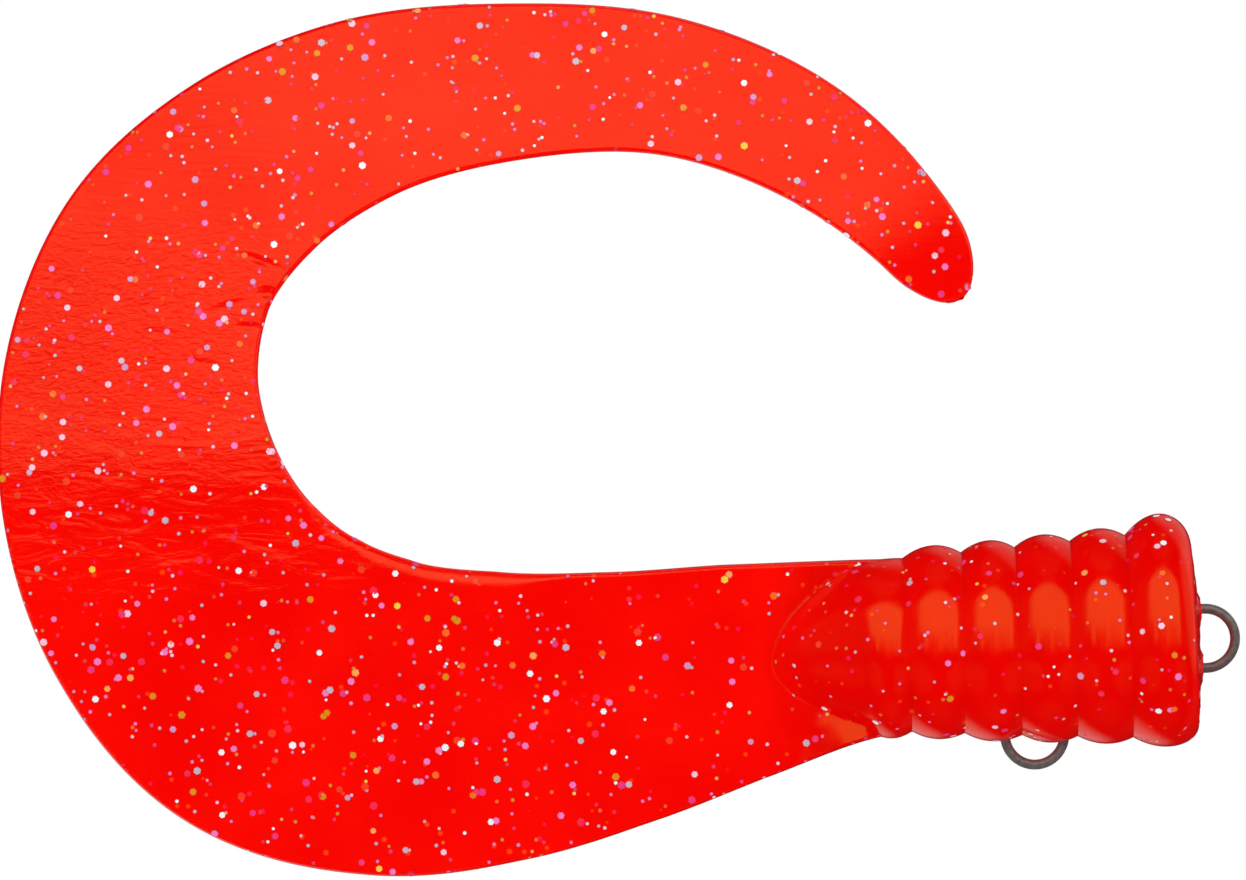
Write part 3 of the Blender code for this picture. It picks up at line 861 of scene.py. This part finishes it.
# The edge lights, which outline the soft forms: direction, the cosines of the angles at which each starts
# and is full, and strength.
EDGE_LIGHTS = (
    ((-0.36, 0.78, -0.50), 0.88, 0.985, 0.6),
    ((0.40, 0.68, 0.60), 0.82, 0.96, 0.34),
    ((0.95, 0.15, 0.30), 0.80, 0.95, 0.5),
)
FAINT = 0.012  # light from everywhere else in reflections


def window(nodes, x, y, z):
    """The soft window light in front, above the lens: an arched top, and a streaky lower half.

    It is drawn over the normals that mirror it to the lens, across and up, so its image on round forms
    keeps its shape.
    """
    length = nodes.math("SQRT", nodes.math("MULTIPLY_ADD", y, -2.0, 2.0))
    across = nodes.math("DIVIDE", x, length)
    up = nodes.math("DIVIDE", z, length)
    where = nodes.add("ShaderNodeCombineXYZ", {0: nodes.product(across, 48.0), 1: nodes.product(up, 4.0)})
    streaks = nodes.step(nodes.noise(where, 1.0, 3.0), 0.40, 0.62)
    low = nodes.step(nodes.math("SUBTRACT", up, nodes.product(streaks, STREAK_LENGTH)), *WINDOW_BOTTOM)
    high = nodes.step(nodes.math("ADD", up, nodes.product(across, across)), *WINDOW_TOP)
    dim = nodes.math("SUBTRACT", 1.0, nodes.product(streaks, nodes.step(up, 0.23, 0.13), STREAK_DIMNESS))
    return nodes.product(
        low,
        high,
        dim,
        nodes.step(across, *WINDOW_LEFT),
        nodes.step(across, *WINDOW_RIGHT),
        nodes.math("LESS_THAN", y, 0.0),
        WINDOW_STRENGTH,
    )


def towards(nodes, direction, axis, low, high):
    """0 to 1 as a direction comes within an angle of an axis, given by the cosines low and high."""
    length = math.sqrt(sum(part * part for part in axis))
    axis = tuple(part / length for part in axis)
    dot = nodes.add("ShaderNodeVectorMath", {0: direction, 1: axis}, out=1, operation="DOT_PRODUCT")
    return nodes.step(dot, low, high)


def make_world():
    """White to the camera, and a few lights to reflections."""
    world = bpy.data.worlds.new("studio")
    bpy.context.scene.world = world
    world.use_nodes = True
    world.cycles.sampling_method = "NONE"
    nodes = Nodes(world.node_tree)
    direction = nodes.add("ShaderNodeTexCoord", out=0)
    x, y, z = nodes.split(direction)
    lights = [window(nodes, x, y, z)]
    for axis, low, high, strength in EDGE_LIGHTS:
        lights.append(nodes.product(towards(nodes, direction, axis, low, high), strength))
    seen = FAINT
    for light in lights:
        seen = nodes.math("ADD", light, seen)
    path = nodes.tree.nodes.new("ShaderNodeLightPath")
    strength = nodes.product(path.outputs["Is Glossy Ray"], seen)
    strength = nodes.math("ADD", strength, path.outputs["Is Camera Ray"])
    light = nodes.add("ShaderNodeBackground", {"Color": (1, 1, 1, 1), "Strength": strength})
    nodes.add("ShaderNodeOutputWorld", {"Surface": light})


def make_soft_lights():
    for k, (azimuth, elevation, strength) in enumerate(SOFT_LIGHTS):
        light = bpy.data.lights.new(f"soft_light_{k}", "SUN")
        light.energy = strength
        light.angle = math.radians(SOFT_LIGHT_ANGLE)
        obj = bpy.data.objects.new(light.name, light)
        bpy.context.scene.collection.objects.link(obj)
        obj.rotation_euler = (math.radians(90 - elevation), 0, math.radians(azimuth))
        obj.visible_glossy = False


FLOOR_MIDDLE, FLOOR_HEIGHT, FLOOR_FAR_EDGE = -70.0, -45.0, 550.0  # in x, z and y
FLOOR_RADIUS, FLOOR_CORNERS = 1200.0, 128


def make_floor():
    """A pale round floor below the lure. It ends just short of the main view."""
    angles = np.arange(FLOOR_CORNERS) * 2 * math.pi / FLOOR_CORNERS
    points = np.column_stack([
        FLOOR_RADIUS * np.cos(angles) + FLOOR_MIDDLE,
        FLOOR_RADIUS * np.sin(angles) + FLOOR_FAR_EDGE - FLOOR_RADIUS,
        np.full(FLOOR_CORNERS, FLOOR_HEIGHT),
    ])
    floor = make_mesh("floor", points, [tuple(range(FLOOR_CORNERS))], rounded=False)
    material, nodes = new_material("floor_paper")
    mottle = nodes.noise(nodes.add("ShaderNodeTexCoord", out=3), 30.0)
    tone = nodes.mix(mottle, (0.86, 0.86, 0.86, 1), (0.9, 0.9, 0.9, 1))
    finish_material(nodes, {"Base Color": tone, "Roughness": 0.9, "Specular IOR Level": 0.1})
    floor.data.materials.append(material)
    floor.visible_glossy = False
    floor.visible_diffuse = False
    floor.visible_shadow = False


CAMERA_PLACE = (-0.0699, -2.0767, 0.0238)
CAMERA_LENS, CAMERA_SENSOR, CAMERA_REACH = 500, 36, 20


def make_camera():
    """A long lens, level, straight from the lure's right side."""
    camera = bpy.data.cameras.new("camera")
    camera.lens = CAMERA_LENS
    camera.sensor_width = CAMERA_SENSOR
    camera.clip_end = CAMERA_REACH
    obj = bpy.data.objects.new("camera", camera)
    bpy.context.scene.collection.objects.link(obj)
    obj.location = CAMERA_PLACE
    obj.rotation_euler = (math.radians(90), 0, 0)
    bpy.context.scene.camera = obj


# ---------------------------------------------------------------- the whole scene


def clear_scene():
    for obj in list(bpy.data.objects):
        bpy.data.objects.remove(obj)


clear_scene()
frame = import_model()
FLAKE_MATERIALS = flake_materials()
make_soft_body(frame["joints"])
make_wire()
finish_sleeve(frame["nodes"]["crimp_sleeve"])
make_world()
make_soft_lights()
make_floor()
make_camera()
bpy.context.scene.view_settings.view_transform = "Standard"
